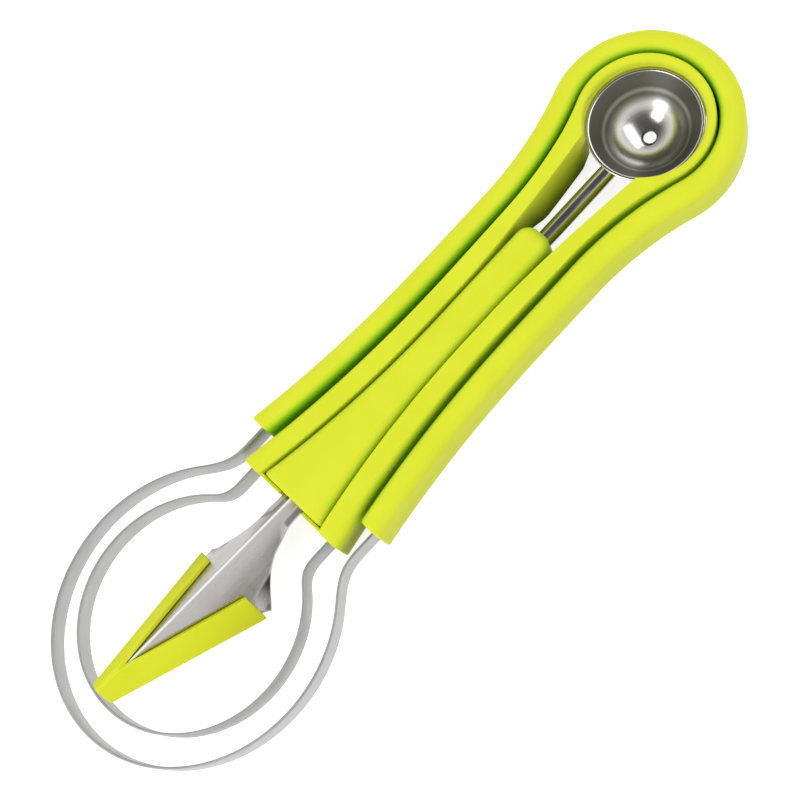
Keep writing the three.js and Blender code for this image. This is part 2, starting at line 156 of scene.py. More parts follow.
class Graph:
    """The node tree of one material or world, written as expressions."""

    def __init__(self, owner: bpy.types.Material | bpy.types.World, shader: str = "Principled BSDF") -> None:
        """Take the owner's new node tree.

        Args:
            owner: the material or world.
            shader: the name of the shader that the tree starts with.
        """
        owner.use_nodes = True
        self.owner = owner
        self.tree = owner.node_tree
        self.shader = self.tree.nodes[shader]

    def node(self, kind: str, settings: dict, inputs: dict) -> bpy.types.Node:
        """Add one node.

        Args:
            kind: the node's type.
            settings: attributes, set before the sockets.
            inputs: socket name or number to a number, vector, socket or Value.

        Returns:
            The new node.
        """
        made = self.tree.nodes.new(kind)
        for name, setting in settings.items():
            setattr(made, name, setting)
        for key, given in inputs.items():
            self.feed(made.inputs[key], given)
        return made

    def feed(self, socket: bpy.types.NodeSocket, given: object) -> None:
        """Link a socket or Value to a socket, or set the socket's own value.

        Args:
            socket: the socket that is fed.
            given: a number, vector, socket or Value.
        """
        if isinstance(given, Value):
            given = given.socket
        if isinstance(given, bpy.types.NodeSocket):
            self.tree.links.new(given, socket)
        else:
            socket.default_value = given

    def finish(self, inputs: dict) -> None:
        """Feed the shader's own sockets by name."""
        for name, given in inputs.items():
            self.feed(self.shader.inputs[name], given)

    def value(self, kind: str, settings: dict, inputs: dict, output: int | str = 0) -> Value:
        """Add one node and return one of its outputs as a Value."""
        return Value(self, self.node(kind, settings, inputs).outputs[output])

    def attribute(self, mark: Mark) -> Value:
        """Number that is stored on a mesh's points, 0 where there is none."""
        return self.value("ShaderNodeAttribute", {"attribute_name": mark.value}, {}, "Fac")

    def place(self, stretch: Triple, centre: Triple = (0.0, 0.0, 0.0)) -> bpy.types.NodeSocket:
        """Object coordinates about a centre, each axis stretched by a factor.

        Args:
            stretch: the factors, per metre.
            centre: the point that becomes the origin.

        Returns:
            The place.
        """
        coordinates = self.node("ShaderNodeTexCoord", {}, {}).outputs["Object"]
        moved = self.node("ShaderNodeVectorMath", {"operation": "SUBTRACT"}, {0: coordinates, 1: centre})
        settings = {"operation": "MULTIPLY"}
        scaled = self.node("ShaderNodeVectorMath", settings, {0: moved.outputs[0], 1: stretch})
        return scaled.outputs[0]

    def noise(self, where: bpy.types.NodeSocket, detail: float) -> Value:
        """Fractal noise over a place that is already scaled."""
        return self.value("ShaderNodeTexNoise", {}, {"Vector": where, "Scale": 1.0, "Detail": detail})

    def blend(self, share: Value, low: object, high: Triple) -> bpy.types.NodeSocket:
        """Colour between two colours by a share from 0 to 1.

        Args:
            share: how much of the second colour is taken.
            low: the first colour, as a socket or three numbers.
            high: the second colour.

        Returns:
            The blended colour.
        """
        first = (*low, 1.0) if isinstance(low, tuple) else low
        inputs = {0: share, 6: first, 7: (*high, 1.0)}
        return self.node("ShaderNodeMix", {"data_type": "RGBA"}, inputs).outputs[2]

    def bump(self, height: Value, depth: float) -> bpy.types.NodeSocket:
        """Normal of a height field that is depth metres deep."""
        inputs = {"Strength": 1.0, "Distance": depth, "Height": height}
        return self.node("ShaderNodeBump", {}, inputs).outputs["Normal"]


# Finishes


class Finish:
    """Base of the finishes: each has a name and writes its nodes into a new material."""

    name: str

    def write(self, graph: Graph) -> None:
        """Write the finish's nodes."""
        raise NotImplementedError

    def material(self) -> bpy.types.Material:
        """Make the material.

        Returns:
            A new material with the finish's nodes.
        """
        graph = Graph(bpy.data.materials.new(self.name))
        self.write(graph)
        return graph.owner


@dataclass(frozen=True)
class MouldedPlastic(Finish):
    """Satin moulded plastic: faint clouds, a fine spark-eroded grain and light rubbing.

    It has painted shade: greener where a mesh is marked for the grooves between handles, and olive where it
    is marked for the rod's slot.
    """

    name: str
    shade: Triple
    glow: Triple
    # Colours of painted shade: in the grooves between handles, and on the rod's slot wall.
    groove_shade: Triple = (0.20, 0.52, 0.004)
    slot: Triple = (0.17, 0.235, 0.003)
    roughness: float = 0.42
    specular: float = 0.12
    cloud_per_metre: float = 60.0
    cloud_detail: float = 4.0
    cloud_range: Pair = (0.3, 0.7)
    grain_per_metre: float = 2600.0
    grain_detail: float = 2.0
    grain_depth: float = 0.000012
    grain_rough: float = 0.07
    rub_per_metre: float = 420.0
    rub_stretch: float = 0.25
    rub_detail: float = 6.0
    rub_range: Pair = (0.52, 0.72)
    rub_gloss: float = 0.05
    groove_rough: float = 0.28
    slot_rough: float = 0.5

    def write(self, graph: Graph) -> None:
        """Write clouds, grain and rubbing, then the painted shade of the grooves and the slot.

        Args:
            graph: the material's graph.
        """
        cloud = graph.noise(graph.place((self.cloud_per_metre,) * 3), self.cloud_detail)
        grain = graph.noise(graph.place((self.grain_per_metre,) * 3), self.grain_detail)
        stretch = (self.rub_stretch * self.rub_per_metre, self.rub_per_metre, self.rub_per_metre)
        rubbed = graph.noise(graph.place(stretch), self.rub_detail).between(*self.rub_range)
        # Shares of painted shade stored on the mesh, in the grooves and on the rod's slot wall; they also
        # raise the roughness.
        groove_shade_share = graph.attribute(Mark.PAINTED_GROOVE_SHADE)
        deep = graph.attribute(Mark.SLOT_WALL_SHADE)
        colour = graph.blend(cloud.between(*self.cloud_range), self.shade, self.glow)
        colour = graph.blend(groove_shade_share, colour, self.groove_shade)
        gloss = self.roughness + self.grain_rough * grain - self.rub_gloss * rubbed
        graph.finish({
            "Base Color": graph.blend(deep, colour, self.slot),
            "Roughness": gloss + self.groove_rough * groove_shade_share + self.slot_rough * deep,
            "Specular IOR Level": self.specular,
            "Normal": graph.bump(grain, self.grain_depth),
        })


@dataclass(frozen=True)
class GrainedSteel(Finish):
    """Stainless sheet with fine rolling lines along one direction and faint smudges.

    It has a white painted highlight where a mesh is marked as a ridge, and a painted dark reflection where
    it is marked as an ear.
    """

    name: str
    bright: Triple
    dull: Triple
    roughness: float
    line_stretch: Triple
    # Colours of the painted highlight on the ridge and of the painted dark reflection on the ears.
    painted_highlight: Triple = (0.86, 0.86, 0.87)
    dark_reflection: Triple = (0.04, 0.04, 0.035)
    detail: float = 3.0
    line_range: Pair = (0.25, 0.75)
    line_rough: float = 0.10
    line_depth: float = 0.000004
    smudge_per_metre: float = 120.0
    smudge_range: Pair = (0.35, 0.75)
    smudge_rough: float = 0.08

    def write(self, graph: Graph) -> None:
        """Write lines and smudges, then the painted highlight and the painted dark reflection.

        Args:
            graph: the material's graph.
        """
        lines = graph.noise(graph.place(self.line_stretch), self.detail)
        smudge = graph.noise(graph.place((self.smudge_per_metre,) * 3), self.detail)
        # Share of the painted highlight, which also turns the steel there into a white dielectric.
        painted_highlight = graph.attribute(Mark.RIDGE_HIGHLIGHT)
        colour = graph.blend(lines.between(*self.line_range), self.dull, self.bright)
        # Painted dark reflection on the ears.
        colour = graph.blend(graph.attribute(Mark.EAR_DARK_REFLECTION), colour, self.dark_reflection)
        gloss = self.roughness + self.smudge_rough * smudge.between(*self.smudge_range)
        graph.finish({
            "Base Color": graph.blend(painted_highlight, colour, self.painted_highlight),
            "Metallic": 1.0 - painted_highlight,
            "Roughness": gloss + self.line_rough * (lines - NOISE_MEAN),
            "Normal": graph.bump(lines, self.line_depth),
        })


@dataclass(frozen=True)
class TurnedSteel(Finish):
    """Steel bowl spun in a lathe, with faint rings about an upright axis.

    From the axis out it has painted shade round its hole, a polished floor, a wall roughened by brushing
    and darkened by painted shade, with a painted reflection ring on it, and a polished lip. Their places
    are shares of the rim's radius.
    """

    name: str
    bright: Triple
    dull: Triple
    axis: Pair
    rim: float
    roughness: float = 0.17
    ring_detail: float = 2.0
    ring_range: Pair = (0.3, 0.7)
    ring_rough: float = 0.03
    ring_depth: float = 0.000003
    rings_per_metre: float = 1500.0
    smudge_per_metre: float = 180.0
    smudge_detail: float = 4.0
    smudge_range: Pair = (0.4, 0.8)
    smudge_rough: float = 0.06
    # The wall's colour is painted shade standing in for dark reflections; its extra roughness is a brushed
    # finish.
    brushed_and_shaded: Triple = (0.135, 0.13, 0.115)
    brushed_and_shaded_range: Pair = (0.50, 0.72)
    brushed_rough: float = 0.26
    lip_range: Pair = (0.925, 0.945)
    # A bright ring painted into the colour: a painted reflection.
    ring_reflection: Triple = (0.36, 0.35, 0.33)
    ring_reflection_at: float = 0.725
    ring_reflection_half: float = 0.045
    # A dark ring painted round the hole's edge: painted shade.
    hole_edge_shade: Triple = (0.10, 0.10, 0.10)
    hole_edge_shade_range: Pair = (0.125, 0.145)

    def write(self, graph: Graph) -> None:
        """Write rings and smudges, then the zones from the hole out to the lip.

        Args:
            graph: the material's graph.
        """
        centre = (*self.axis, 0.0)
        flat = graph.place((1.0, 1.0, 0.0), centre)
        radius = graph.value("ShaderNodeVectorMath", {"operation": "LENGTH"}, {0: flat}, "Value")
        turned = graph.node("ShaderNodeCombineXYZ", {}, {"X": radius * self.rings_per_metre}).outputs[0]
        rings = graph.noise(turned, self.ring_detail).between(*self.ring_range)
        smudge = graph.noise(graph.place((self.smudge_per_metre,) * 3, centre), self.smudge_detail)
        out = radius * (1.0 / self.rim)
        # Share of the brushed wall: it raises the roughness, and darkens the colour with painted shade.
        brushed_and_shaded = out.between(*self.brushed_and_shaded_range) * (1.0 - out.between(*self.lip_range))
        low, high = self.ring_reflection_at - self.ring_reflection_half, self.ring_reflection_at + self.ring_reflection_half
        # Share of the painted reflection ring.
        ring_reflection = out.between(low, self.ring_reflection_at) * (1.0 - out.between(self.ring_reflection_at, high))
        # Share of the painted shade round the hole.
        hole_edge_shade = 1.0 - out.between(*self.hole_edge_shade_range)
        colour = graph.blend(rings, self.dull, self.bright)
        for share, tone in ((brushed_and_shaded, self.brushed_and_shaded), (ring_reflection, self.ring_reflection), (hole_edge_shade, self.hole_edge_shade)):
            colour = graph.blend(share, colour, tone)
        gloss = self.roughness + self.smudge_rough * smudge.between(*self.smudge_range)
        graph.finish({
            "Base Color": colour,
            "Metallic": 1.0,
            "Roughness": gloss + self.ring_rough * rings + self.brushed_rough * brushed_and_shaded,
            "Normal": graph.bump(rings, self.ring_depth),
        })


# Surfaces


def mesh_object(name: str, points: np.ndarray, faces: list) -> bpy.types.Object:
    """Object from points in millimetres and faces, smooth but for its sharp edges.

    Args:
        name: the piece's name.
        points: corners, in millimetres from the bulb's centre.
        faces: corner numbers of each face.

    Returns:
        The new object, in the part's frame.
    """
    mesh = bpy.data.meshes.new(name)
    mesh.from_pydata(((points + (BULB_X, 0.0, 0.0)) * MM).tolist(), [], faces)
    mesh.polygons.foreach_set("use_smooth", np.ones(len(mesh.polygons), dtype=bool))
    mesh.update()
    mesh.set_sharp_from_angle(angle=SHARP_ANGLE)
    return linked(name, mesh)


def linked(name: str, data: bpy.types.ID) -> bpy.types.Object:
    """New object with the given data, put in the scene.

    Args:
        name: the object's name.
        data: a mesh, lamp or camera.

    Returns:
        The object.
    """
    made = bpy.data.objects.new(name, data)
    bpy.context.scene.collection.objects.link(made)
    return made


def loft(name: str, rings: np.ndarray) -> bpy.types.Object:
    """Closed skin over a row of closed rings, with a flat face at each end.

    Point (i, j) is joined to its neighbours (i + 1, j) and (i, j + 1), where j runs round the ring.

    Args:
        name: the piece's name.
        rings: points as an array of rings, points and coordinates, in millimetres from the bulb's centre.

    Returns:
        The new object.
    """
    count, size = rings.shape[:2]
    at = np.arange(count * size).reshape(count, size)
    after = np.roll(at, -1, axis=1)
    quads = np.stack((at[:-1], after[:-1], after[1:], at[1:]), axis=-1).reshape(-1, 4)
    faces = quads.tolist() + [at[0, ::-1].tolist(), at[-1].tolist()]
    return mesh_object(name, rings.reshape(-1, 3), faces)


def ring_of_rings(name: str, rings: np.ndarray) -> bpy.types.Object:
    """Closed skin over rings that themselves close into a ring, such as a torus.

    Args:
        name: the piece's name.
        rings: points as for loft.

    Returns:
        The new object.
    """
    count, size = rings.shape[:2]
    at = np.arange(count * size).reshape(count, size)
    ahead, after = np.roll(at, -1, axis=0), np.roll(at, -1, axis=1)
    both = np.roll(ahead, -1, axis=1)
    quads = np.stack((at, ahead, both, after), axis=-1).reshape(-1, 4)
    return mesh_object(name, rings.reshape(-1, 3), quads.tolist())


def joined(first: bpy.types.Object, second: bpy.types.Object) -> bpy.types.Object:
    """Two objects made one, as loose shells of the first.

    Args:
        first: the object that is kept.
        second: the object that is taken in.

    Returns:
        The first object.
    """
    work = bmesh.new()
    work.from_mesh(first.data)
    work.from_mesh(second.data)
    work.to_mesh(first.data)
    work.free()
    bpy.data.objects.remove(second)
    return first


def bevel(piece: bpy.types.Object, width: float, segments: int) -> None:
    """Round a piece's sharp edges.

    Args:
        piece: the object.
        width: the round's width, in millimetres.
        segments: how many faces it has across.
    """
    modifier = piece.modifiers.new("edge_round", "BEVEL")
    modifier.width = width * MM
    modifier.segments = segments
    modifier.limit_method = "ANGLE"
    modifier.angle_limit = BEVEL_ANGLE
    modifier.harden_normals = True


def store(piece: bpy.types.Object, mark: Mark, values: np.ndarray) -> None:
    """Store one number for each point of a piece."""
    layer = piece.data.attributes.new(mark.value, "FLOAT", "POINT")
    layer.data.foreach_set("value", values.astype(np.float32).ravel())


def dress(piece: bpy.types.Object, body: Body, slot: Slot, finish: bpy.types.Material, *nodes: str) -> None:
    """Give a piece its finish, the body it rides on and the solids it stands for.

    Args:
        piece: the object.
        body: the body that it moves with.
        slot: the record's slot of its finish.
        finish: the material.
        nodes: names of the solids that it replaces.
    """
    piece.data.materials.clear()
    piece.data.materials.append(finish)
    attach(piece, body.value)
    if nodes:
        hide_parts(*nodes)
    LOG.info("%s rides on %s in %s", piece.name, body.value, slot.value)


def arc(centre: Pair, radius: float, angles: np.ndarray) -> np.ndarray:
    """Plan points of a circle at the given angles."""
    return np.stack((centre[0] + radius * np.cos(angles), centre[1] + radius * np.sin(angles)), axis=-1)


def smooth(share: np.ndarray) -> np.ndarray:
    """Smooth step from 0 to 1: 3 s^2 - 2 s^3."""
    share = np.clip(share, 0.0, 1.0)
    return share**2 * (3.0 - 2.0 * share)


def round_over(distance: np.ndarray, radius: float) -> np.ndarray:
    """Inset of a rounded edge at a distance from the end: r - sqrt(r^2 - (r - d)^2)."""
    short = np.clip(radius - distance, 0.0, radius)
    return radius - np.sqrt(radius**2 - short**2)


def hinge(distance: np.ndarray, softness: float) -> np.ndarray:
    """Rise past a crease, rounded over a softness: (d + sqrt(d^2 + s^2)) / 2."""
    return 0.5 * (distance + np.sqrt(distance**2 + softness**2))


def quadratic(corners: tuple[Pair, Pair, Pair], count: int) -> np.ndarray:
    """Points of a quadratic Bezier curve.

    Args:
        corners: its start, its pull and its end.
        count: how many points it has.

    Returns:
        Plan points, one row each.
    """
    t = np.linspace(0.0, 1.0, count)[:, None]
    first, pull, last = (np.array(corner) for corner in corners)
    return (1 - t) ** 2 * first + 2 * t * (1 - t) * pull + t**2 * last


@dataclass(frozen=True)
class FlareLine:
    """Half-width of a leg: a waist that widens by a power law towards the open end."""

    waist_half: float
    waist_x: float
    end_half: float
    end_x: float
    power: float

    def half(self, x: np.ndarray) -> np.ndarray:
        """Half-width at stations x: waist + (end - waist) * run ** power."""
        run = np.clip((self.waist_x - x) / (self.waist_x - self.end_x), 0.0, None)
        return self.waist_half + (self.end_half - self.waist_half) * run**self.power


@dataclass(frozen=True)
class SectionForm:
    """Upright section of a handle: its heights and the radius of each of its four edges.

    The upper inner radius and the shares are one number, or a column with a number for each section.
    """

    bottom: float
    top: float
    inner_lower: float
    outer_lower: float
    outer_upper: float
    inner_upper: float | np.ndarray
    fillet_points: int = 9
    face_points: int = 9
    inner_share: float | np.ndarray = 0.34
    outer_share: float | np.ndarray = 0.6

    def groove_shade_share(self, rings: np.ndarray) -> np.ndarray:
        """Share of painted shade in the grooves, by how deep points lie: 0 at the top, 1 at the full depth.
        """
        return smooth((self.top - rings[..., 2]) / CAVITY_DEPTH)


# Sizes that several pieces share, as in the part's source

OUTER_SIDE = FlareLine(waist_half=19.1, waist_x=-60.7, end_half=24.2, end_x=-126.0, power=2.2)
OUTER_NEST = FlareLine(waist_half=11.1, waist_x=-62.7, end_half=17.8, end_x=-135.4, power=2.1)
CORE_NEST = FlareLine(waist_half=5.2, waist_x=-72.7, end_half=10.9, end_x=-134.1, power=2.1)
NEST_GAP = 0.45
LEG_GAP = 1.4
BULB_GAP = 0.7
NEST_BULB = 18.65
NEST_NECK = 105.0
LEDGE_HEIGHT = 1.5
LEDGE_REACH = 1.1
LEDGE_ROOT = 1.0
LEDGE_ROUND = 0.3
LEDGE_ROOT_ROUND = 0.1
SEAT_GAP = 0.3
MIDDLE_BOTTOM = LEDGE_HEIGHT + SEAT_GAP
CORE_BOTTOM = MIDDLE_BOTTOM + LEDGE_HEIGHT + SEAT_GAP
END_ROUND = 0.8
LEAST_ROUND = 0.15
# Depth at which painted shade in the grooves reaches its full share.
CAVITY_DEPTH = 2.0
CAVITY_FADE = 6.0
END_STEPS = 7
LEG_STEPS = 70
NECK_STEPS = 26
BULB_STEPS = 60
MIRROR_Y = (1.0, -1.0, 1.0)


def leg_stations(start: float, stop: float) -> np.ndarray:
    """Stations along a leg: a cosine row over its rounded end, then even steps.

    Args:
        start: the station of the leg's end.
        stop: the station where the leg goes over into the neck.

    Returns:
        The stations.
    """
    turn = np.linspace(0.0, 0.5 * np.pi, END_STEPS)[:-1]
    edge = start + END_ROUND * (1.0 - np.cos(turn))
    return np.concatenate((edge, np.linspace(start + END_ROUND, stop, LEG_STEPS)))


def horseshoe_half(line: FlareLine, bulb: float, neck: float, leg_end: float, offset: float) -> np.ndarray:
    """Upper half of a horseshoe outline, from a leg's end to the bulb's far point.

    The flared leg meets a concave neck arc, and that meets the bulb's arc, each tangent to the next.

    Args:
        line: the leg's half-width.
        bulb: the bulb's radius.
        neck: the neck arc's radius.
        leg_end: the station of the leg's end.
        offset: how far the leg moves outwards.

    Returns:
        Plan points, one row each.
    """
    centre_y = line.waist_half + offset + neck
    centre_x = -math.sqrt((neck + bulb) ** 2 - centre_y**2)
    touch = math.atan2(centre_y, centre_x)
    x = leg_stations(leg_end, centre_x)
    leg = np.stack((x, line.half(x) + offset), axis=-1)
    neck_turn = np.linspace(-0.5 * math.pi, touch - math.pi, NECK_STEPS + 1)[1:]
    bulb_turn = np.linspace(touch, 0.0, BULB_STEPS + 1)[1:]
    shoulder = arc((centre_x, centre_y), neck, neck_turn)
    return np.concatenate((leg, shoulder, arc((0.0, 0.0), bulb, bulb_turn)))


def section_rings(inner: np.ndarray, outer: np.ndarray, form: SectionForm, inset: np.ndarray) -> np.ndarray:
    """Rings of a handle's rounded section between inner and outer plan points.

    A point at angle a of a corner lies at the corner's centre plus radius * (cos a, sin a), measured
    across from the inner to the outer point and up, and no radius takes more than its share of the
    width. The upper face is level between its two rounds.

    Args:
        inner: inner plan points.
        outer: outer plan points.
        form: heights and edge radii.
        inset: how far each section is drawn in all round.

    Returns:
        Points as an array of rings, points and coordinates.
    """
    points = form.fillet_points
    across = outer - inner
    length = np.linalg.norm(across, axis=1, keepdims=True)
    across = across / length
    turn = np.linspace(0.0, 0.5 * np.pi, points)
    edges = (form.inner_lower, form.outer_lower, form.outer_upper, form.inner_upper)
    radii = np.concatenate([np.broadcast_to(edge, (len(inner), points)) for edge in edges], axis=1)
    far = np.repeat((0.0, 1.0, 1.0, 0.0), points)
    high = np.repeat((0.0, 0.0, 1.0, 1.0), points)
    rounds = np.minimum(radii, np.where(far > 0, form.outer_share, form.inner_share) * length)
    angle = np.concatenate([turn + start * 0.5 * np.pi for start in (2, 3, 0, 1)])
    draw = inset[:, None]
    radius = np.maximum(rounds - draw, LEAST_ROUND * rounds)
    width = length - 2.0 * draw
    reach = draw + np.where(far > 0, width - radius, radius) + radius * np.cos(angle)
    low_z = form.bottom + draw + radius
    high_z = form.top - draw - radius
    up = np.where(high > 0, high_z, low_z) + radius * np.sin(angle)
    reach, up = add_face(reach, up, form)
    plan = inner[:, None, :] + across[:, None, :] * reach[..., None]
    return np.concatenate((plan, up[..., None]), axis=-1)


def add_face(reach: np.ndarray, up: np.ndarray, form: SectionForm) -> tuple[np.ndarray, np.ndarray]:
    """Points across the upper face, between its two rounded edges.

    Args:
        reach: distances across each section.
        up: heights.
        form: the section's form.

    Returns:
        The distances and heights with the new points put in.
    """
    start = 3 * form.fillet_points
    share = np.linspace(0.0, 1.0, form.face_points + 2)[1:-1]
    first, last = reach[:, start - 1 : start], reach[:, start : start + 1]
    span = first + (last - first) * share
    level = np.broadcast_to(up[:, start - 1 : start], span.shape)
    reach = np.concatenate((reach[:, :start], span, reach[:, start:]), axis=1)
    return reach, np.concatenate((up[:, :start], level, up[:, start:]), axis=1)


def mirrored_row(rings: np.ndarray) -> np.ndarray:
    """A half row of rings continued by its mirror image in Y, back along the other leg."""
    return np.concatenate((rings, (rings * MIRROR_Y)[-2::-1]))


def inner_side(rings: np.ndarray, form: SectionForm) -> np.ndarray:
    """True for the points of each ring that lie on its inner wall."""
    index = np.arange(rings.shape[1])
    return (index < form.fillet_points) | (index >= rings.shape[1] - form.fillet_points)


def horseshoe(inner: np.ndarray, outer: np.ndarray, form: SectionForm) -> np.ndarray:
    """Rings of a horseshoe body between two half outlines, from one leg's end to the other's."""
    inset = round_over(np.abs(outer[:, 0] - outer[0, 0]), END_ROUND)
    return mirrored_row(section_rings(inner, outer, form, inset))


def seat_ledge(name: str, wall: np.ndarray, bottom: float, reach: float) -> bpy.types.Object:
    """Ledge along the foot of a wall, rooted a little inside it, on both legs or right round.

    Args:
        name: the piece's name.
        wall: plan points of half the wall. Where they end nearer the middle plane than the root is deep,
            the ledge goes right round.
        bottom: the ledge's lower height.
        reach: how far it stands out of the wall.

    Returns:
        The new object.
    """
    shift = np.stack((np.zeros(len(wall)), np.ones(len(wall))), axis=-1)
    form = SectionForm(
        bottom, bottom + LEDGE_HEIGHT, LEDGE_ROUND, LEDGE_ROOT_ROUND, LEDGE_ROOT_ROUND, LEDGE_ROUND,
        fillet_points=4, face_points=1,
    )
    rings = section_rings(wall - reach * shift, wall + LEDGE_ROOT * shift, form, np.zeros(len(wall)))
    if wall[-1, 1] < LEDGE_ROOT:
        return loft(name, mirrored_row(rings))
    return joined(loft(name, rings), loft(name + "_other", (rings * MIRROR_Y)[::-1]))


# Sub-assemblies


@dataclass
class BandLoop:
    """Steel band on edge: an oval, an S-bend down to a straight neck, and two tangs in the legs."""

    name: str
    node: str
    length_radius: float
    width_radius: float
    leave: float
    neck_half: float
    neck: float
    tang_x: float
    mid_height: float
    centre_x: float = -173.7
    width: float = 7.2
    thickness: float = 0.8
    edge_round: float = 0.16
    oval_pull: float = 0.8
    neck_pull: float = 0.45
    oval_points: int = 110
    bend_points: int = 33

    def path(self) -> np.ndarray:
        """Plan points of the band's mid-line.

        The oval is centre + (long cos a, wide sin a). A cubic Bezier leaves it along its tangent and
        meets the neck level.

        Returns:
            Points from one tang's end round to the other's.
        """
        long, wide = self.length_radius - self.thickness / 2, self.width_radius - self.thickness / 2
        neck = self.neck_half - self.thickness / 2
        neck_x = self.centre_x + self.neck
        angle = math.acos(self.leave / long)
        turn = np.linspace(math.pi, angle, self.oval_points)
        oval = np.stack((self.centre_x + long * np.cos(turn), wide * np.sin(turn)), axis=-1)
        heading = np.array((long * math.sin(angle), -wide * math.cos(angle)))
        heading /= np.linalg.norm(heading)
        reach = (oval[-1, 1] - neck) / -heading[1]
        end = np.array((neck_x, neck))
        third = np.array((neck_x - self.neck_pull * (neck_x - oval[-1, 0]), neck))
        corners = (oval[-1], oval[-1] + self.oval_pull * reach * heading, third, end)
        t = np.linspace(0.0, 1.0, self.bend_points)[1:, None]
        weights = ((1 - t) ** 3, 3 * t * (1 - t) ** 2, 3 * t**2 * (1 - t), t**3)
        bend = sum(weight * corner for weight, corner in zip(weights, corners))
        half = np.concatenate((oval, bend, [(self.tang_x, neck)]))
        return np.concatenate(((half * (1.0, -1.0))[:0:-1], half))

    def build(self) -> bpy.types.Object:
        """Carry the band's section along its path: point = path + normal * across + up.

        Returns:
            The band.
        """
        path = self.path()
        heading = np.gradient(path, axis=0)
        heading /= np.linalg.norm(heading, axis=1, keepdims=True)
        side = self.thickness / 2 * np.stack((-heading[:, 1], heading[:, 0]), axis=-1)
        low, high = self.mid_height - self.width / 2, self.mid_height + self.width / 2
        form = SectionForm(low, high, *(self.edge_round,) * 4, fillet_points=4, face_points=3)
        return loft(self.name, section_rings(path - side, path + side, form, np.zeros(len(path))))


@dataclass
class OuterTool:
    """Outer handle with its large loop."""

    bulb: float = OUTER_BULB
    neck: float = 100.0
    form: SectionForm = SectionForm(
        bottom=0.0, top=16.0, inner_lower=1.2, outer_lower=3.0, outer_upper=5.5, inner_upper=2.8,
        inner_share=0.44, outer_share=0.55,
    )
    loop: BandLoop = field(default_factory=lambda: BandLoop(
        "large_loop", "outer_loop", length_radius=41.5, width_radius=37.3, leave=28.0,
        neck_half=21.5, neck=42.0, tang_x=-115.0, mid_height=7.0,
    ))

    def build(self, plastic: bpy.types.Material, steel: bpy.types.Material) -> None:
        """Make and dress the handle, its seat ledge and its loop.

        Args:
            plastic: the handle's material.
            steel: the loop's material.
        """
        inner = horseshoe_half(OUTER_NEST, NEST_BULB + BULB_GAP, NEST_NECK, OUTER_SIDE.end_x, LEG_GAP)
        outer = horseshoe_half(OUTER_SIDE, self.bulb, self.neck, OUTER_SIDE.end_x, 0.0)
        rings = horseshoe(inner, outer, self.form)
        handle = loft("outer_grip", rings)
        # Painted shade on the handle's inner wall, in the grooves beside the middle handle.
        store(handle, Mark.PAINTED_GROOVE_SHADE, self.form.groove_shade_share(rings) * inner_side(rings, self.form))
        dress(handle, Body.OUTER, Slot.LIME, plastic, "outer_handle")
        ledge = seat_ledge("outer_seat_ledge", inner[END_STEPS:], 0.0, LEG_GAP + LEDGE_REACH)
        dress(ledge, Body.OUTER, Slot.LIME, plastic)
        dress(self.loop.build(), Body.OUTER, Slot.SATIN, steel, self.loop.node)


